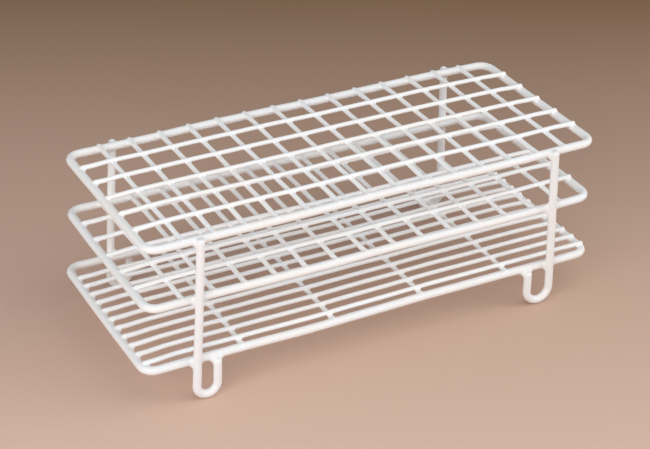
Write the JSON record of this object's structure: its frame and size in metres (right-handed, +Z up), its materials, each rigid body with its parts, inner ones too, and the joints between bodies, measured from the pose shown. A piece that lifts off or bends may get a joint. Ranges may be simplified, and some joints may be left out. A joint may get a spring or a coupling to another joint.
{
  "type": "test tube rack",
  "caption": "Open wire rack that holds test tubes upright in a square grid of cells, with three tiers on four hooked wire legs and a coated finish.",
  "frame": {"origin": "on the table, under the centre of the rack", "axes": "+X along the rack's length, +Y from the front to the back, +Z up"},
  "size_m": [0.2508, 0.11, 0.0875],
  "materials": {
    "white_coating": "glossy white epoxy coating over steel wire"
  },
  "bodies": {
    "root": {"top_frame": "white_coating", "top_cross_wire_01": "white_coating", "top_cross_wire_02": "white_coating", "top_cross_wire_03": "white_coating", "top_cross_wire_04": "white_coating", "top_cross_wire_05": "white_coating", "top_cross_wire_06": "white_coating", "top_cross_wire_07": "white_coating", "top_cross_wire_08": "white_coating", "top_cross_wire_09": "white_coating", "top_cross_wire_10": "white_coating", "top_cross_wire_11": "white_coating", "top_cross_wire_12": "white_coating", "top_cross_wire_13": "white_coating", "top_cross_wire_14": "white_coating", "top_long_wire_1": "white_coating", "top_long_wire_2": "white_coating", "top_long_wire_3": "white_coating", "top_long_wire_4": "white_coating", "top_long_wire_5": "white_coating", "middle_frame": "white_coating", "middle_cross_wire_01": "white_coating", "middle_cross_wire_02": "white_coating", "middle_cross_wire_03": "white_coating", "middle_cross_wire_04": "white_coating", "middle_cross_wire_05": "white_coating", "middle_cross_wire_06": "white_coating", "middle_cross_wire_07": "white_coating", "middle_cross_wire_08": "white_coating", "middle_cross_wire_09": "white_coating", "middle_cross_wire_10": "white_coating", "middle_cross_wire_11": "white_coating", "middle_cross_wire_12": "white_coating", "middle_cross_wire_13": "white_coating", "middle_cross_wire_14": "white_coating", "middle_long_wire_1": "white_coating", "middle_long_wire_2": "white_coating", "middle_long_wire_3": "white_coating", "middle_long_wire_4": "white_coating", "middle_long_wire_5": "white_coating", "shelf_frame": "white_coating", "shelf_cross_wire_1": "white_coating", "shelf_cross_wire_2": "white_coating", "shelf_cross_wire_3": "white_coating", "shelf_cross_wire_4": "white_coating", "shelf_rod_01": "white_coating", "shelf_rod_02": "white_coating", "shelf_rod_03": "white_coating", "shelf_rod_04": "white_coating", "shelf_rod_05": "white_coating", "shelf_rod_06": "white_coating", "shelf_rod_07": "white_coating", "shelf_rod_08": "white_coating", "shelf_rod_09": "white_coating", "shelf_rod_10": "white_coating", "shelf_rod_11": "white_coating", "leg_front_left": "white_coating", "leg_front_right": "white_coating", "leg_rear_left": "white_coating", "leg_rear_right": "white_coating"}
  },
  "joints": []
}
